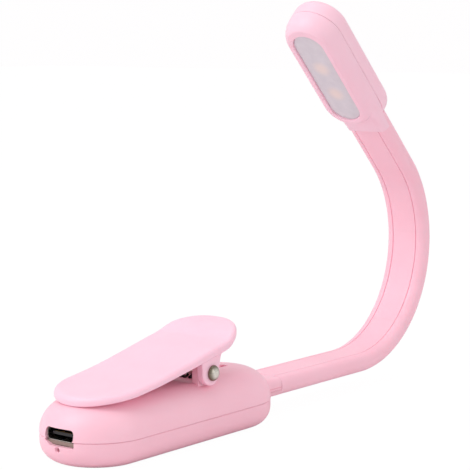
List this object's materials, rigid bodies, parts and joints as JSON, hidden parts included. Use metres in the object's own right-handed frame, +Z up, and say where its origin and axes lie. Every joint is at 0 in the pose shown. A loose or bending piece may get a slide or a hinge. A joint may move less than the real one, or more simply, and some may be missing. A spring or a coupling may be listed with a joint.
{
  "type": "clip-on reading lamp",
  "caption": "Clip-on reading lamp: pill-shaped base with a spring clip and a charging socket, a flat bendable neck, and a small pill-shaped lamp head with a diffused light window.",
  "frame": {"origin": "centre of the base's flat underside", "axes": "+X along the base towards the neck, +Y across the base, +Z up from the surface that the base rests on"},
  "size_m": [0.1567, 0.0286, 0.1121],
  "materials": {
    "casing_lower": "satin",
    "casing_upper": "satin",
    "screw_steel": "satin",
    "cell_foil": "satin",
    "foam": "matte",
    "red_lead": "satin",
    "circuit_board": "satin",
    "chips": "satin",
    "port_shell": "satin",
    "port_tongue": "satin",
    "charge_led": "gloss",
    "light_pipe": "gloss",
    "collar": "satin",
    "crimp_steel": "satin",
    "lamp_lead": "satin",
    "spring_steel": "satin",
    "clip_plate": "satin",
    "jaw_rubber": "matte",
    "pin_steel": "satin",
    "neck_skin": "satin",
    "core_wire": "satin",
    "bezel": "satin",
    "rear_shell": "satin",
    "lens": "satin",
    "reflector": "gloss",
    "led_board": "satin",
    "led_chips": "gloss",
    "switch": "satin",
    "button": "satin"
  },
  "bodies": {
    "base": {"base_lower_casing": "casing_lower", "base_upper_casing": "casing_upper", "casing_screws": "screw_steel", "battery_cell": "cell_foil", "battery_pad": "foam", "battery_leads": "red_lead", "charge_board": "circuit_board", "board_components": "chips", "usb_c_shell": "port_shell", "usb_c_tongue": "port_tongue", "charge_led": "charge_led", "indicator_light_pipe": "light_pipe", "neck_collar": "collar", "wire_crimp_bar": "crimp_steel", "base_lamp_leads": "lamp_lead", "torsion_spring": "spring_steel", "neck_sleeve_0": "neck_skin", "neck_wires_0": "core_wire", "neck_leads_0": "lamp_lead"},
    "lever": {"clip_lever": "clip_plate", "jaw_pad": "jaw_rubber", "hinge_pin": "pin_steel"},
    "neck_1": {"neck_sleeve_1": "neck_skin", "neck_wires_1": "core_wire", "neck_leads_1": "lamp_lead"},
    "neck_2": {"neck_sleeve_2": "neck_skin", "neck_wires_2": "core_wire", "neck_leads_2": "lamp_lead"},
    "neck_3": {"neck_sleeve_3": "neck_skin", "neck_wires_3": "core_wire", "neck_leads_3": "lamp_lead"},
    "neck_4": {"neck_sleeve_4": "neck_skin", "neck_wires_4": "core_wire", "neck_leads_4": "lamp_lead"},
    "neck_5": {"neck_sleeve_5": "neck_skin", "neck_wires_5": "core_wire", "neck_leads_5": "lamp_lead"},
    "neck_6": {"neck_sleeve_6": "neck_skin", "neck_wires_6": "core_wire", "neck_leads_6": "lamp_lead"},
    "neck_7": {"neck_sleeve_7": "neck_skin", "neck_wires_7": "core_wire", "neck_leads_7": "lamp_lead"},
    "head": {"neck_sleeve_8": "neck_skin", "neck_wires_8": "core_wire", "neck_leads_8": "lamp_lead", "head_front_bezel": "bezel", "head_rear_shell": "rear_shell", "diffuser_lens": "lens", "reflector_tray": "reflector", "led_board": "led_board", "led_chips": "led_chips", "tactile_switch": "switch", "head_crimp_bar": "crimp_steel"},
    "button": {"power_button": "button"}
  },
  "joints": [
    {"name": "clip_hinge", "type": "hinge", "parent": "base", "child": "lever", "pos_m": [0.0067, 0, 0.0178], "axis": [0, 1, 0], "range_deg": [0, 30], "stiffness_Nm_per_rad": 0.15, "springref_deg": -44.98, "deforming": ["torsion_spring"]},
    {"name": "neck_bend_1", "type": "hinge", "parent": "base", "child": "neck_1", "pos_m": [0.05211, 0, 0.0075], "axis": [0, -1, 0], "range_deg": [-20, 12]},
    {"name": "neck_bend_2", "type": "hinge", "parent": "neck_1", "child": "neck_2", "pos_m": [0.06775, 0, 0.0075], "axis": [0, -1, 0], "range_deg": [-20, 12]},
    {"name": "neck_bend_3", "type": "hinge", "parent": "neck_2", "child": "neck_3", "pos_m": [0.0834, 0, 0.0075], "axis": [0, -1, 0], "range_deg": [-20, 12]},
    {"name": "neck_bend_4", "type": "hinge", "parent": "neck_3", "child": "neck_4", "pos_m": [0.09847, 0, 0.01112], "axis": [0, -1, 0], "range_deg": [-30, 5]},
    {"name": "neck_bend_5", "type": "hinge", "parent": "neck_4", "child": "neck_5", "pos_m": [0.11026, 0, 0.02119], "axis": [0, -1, 0], "range_deg": [-30, 5]},
    {"name": "neck_bend_6", "type": "hinge", "parent": "neck_5", "child": "neck_6", "pos_m": [0.11619, 0, 0.03551], "axis": [0, -1, 0], "range_deg": [-30, 5]},
    {"name": "neck_bend_7", "type": "hinge", "parent": "neck_6", "child": "neck_7", "pos_m": [0.11498, 0, 0.05096], "axis": [0, -1, 0], "range_deg": [-30, 5]},
    {"name": "neck_twist", "type": "hinge", "parent": "neck_7", "child": "head", "pos_m": [0.10677, 0, 0.06428], "axis": [-0.7071, 0, 0.7071], "range_deg": [-40, 40]},
    {"name": "power_button_press", "type": "slide", "parent": "head", "child": "button", "axis": [-0.7071, 0, -0.7071], "range_m": [0, 0.0004], "stiffness_N_per_m": 800, "springref_m": -0.0005}
  ]
}
